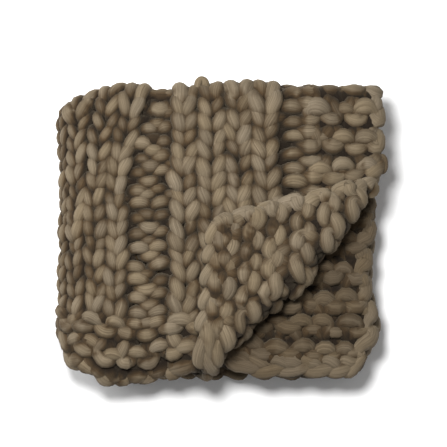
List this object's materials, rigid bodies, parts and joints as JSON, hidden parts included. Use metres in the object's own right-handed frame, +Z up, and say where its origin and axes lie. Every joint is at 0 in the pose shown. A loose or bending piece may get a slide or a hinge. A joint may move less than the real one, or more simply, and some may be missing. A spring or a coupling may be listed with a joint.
{
  "type": "folded hand knit throw blanket",
  "caption": "Thick hand knitted throw with ribbed and sunk panels and garter borders, folded to a quarter with one corner turned back",
  "frame": {"origin": "middle of the footprint, on the surface that the folded throw lies on", "axes": "+X to the right, along the folded throw's longer side, from the left fold to the open edges; +Y to the edge of the first fold; +Z up"},
  "size_m": [0.4748, 0.4454, 0.144],
  "materials": {
    "wool": "thick single-ply brown wool roving, soft and matt, with fine fibres along the yarn"
  },
  "bodies": {
    "root": {"knit_throw": "wool"}
  },
  "joints": []
}
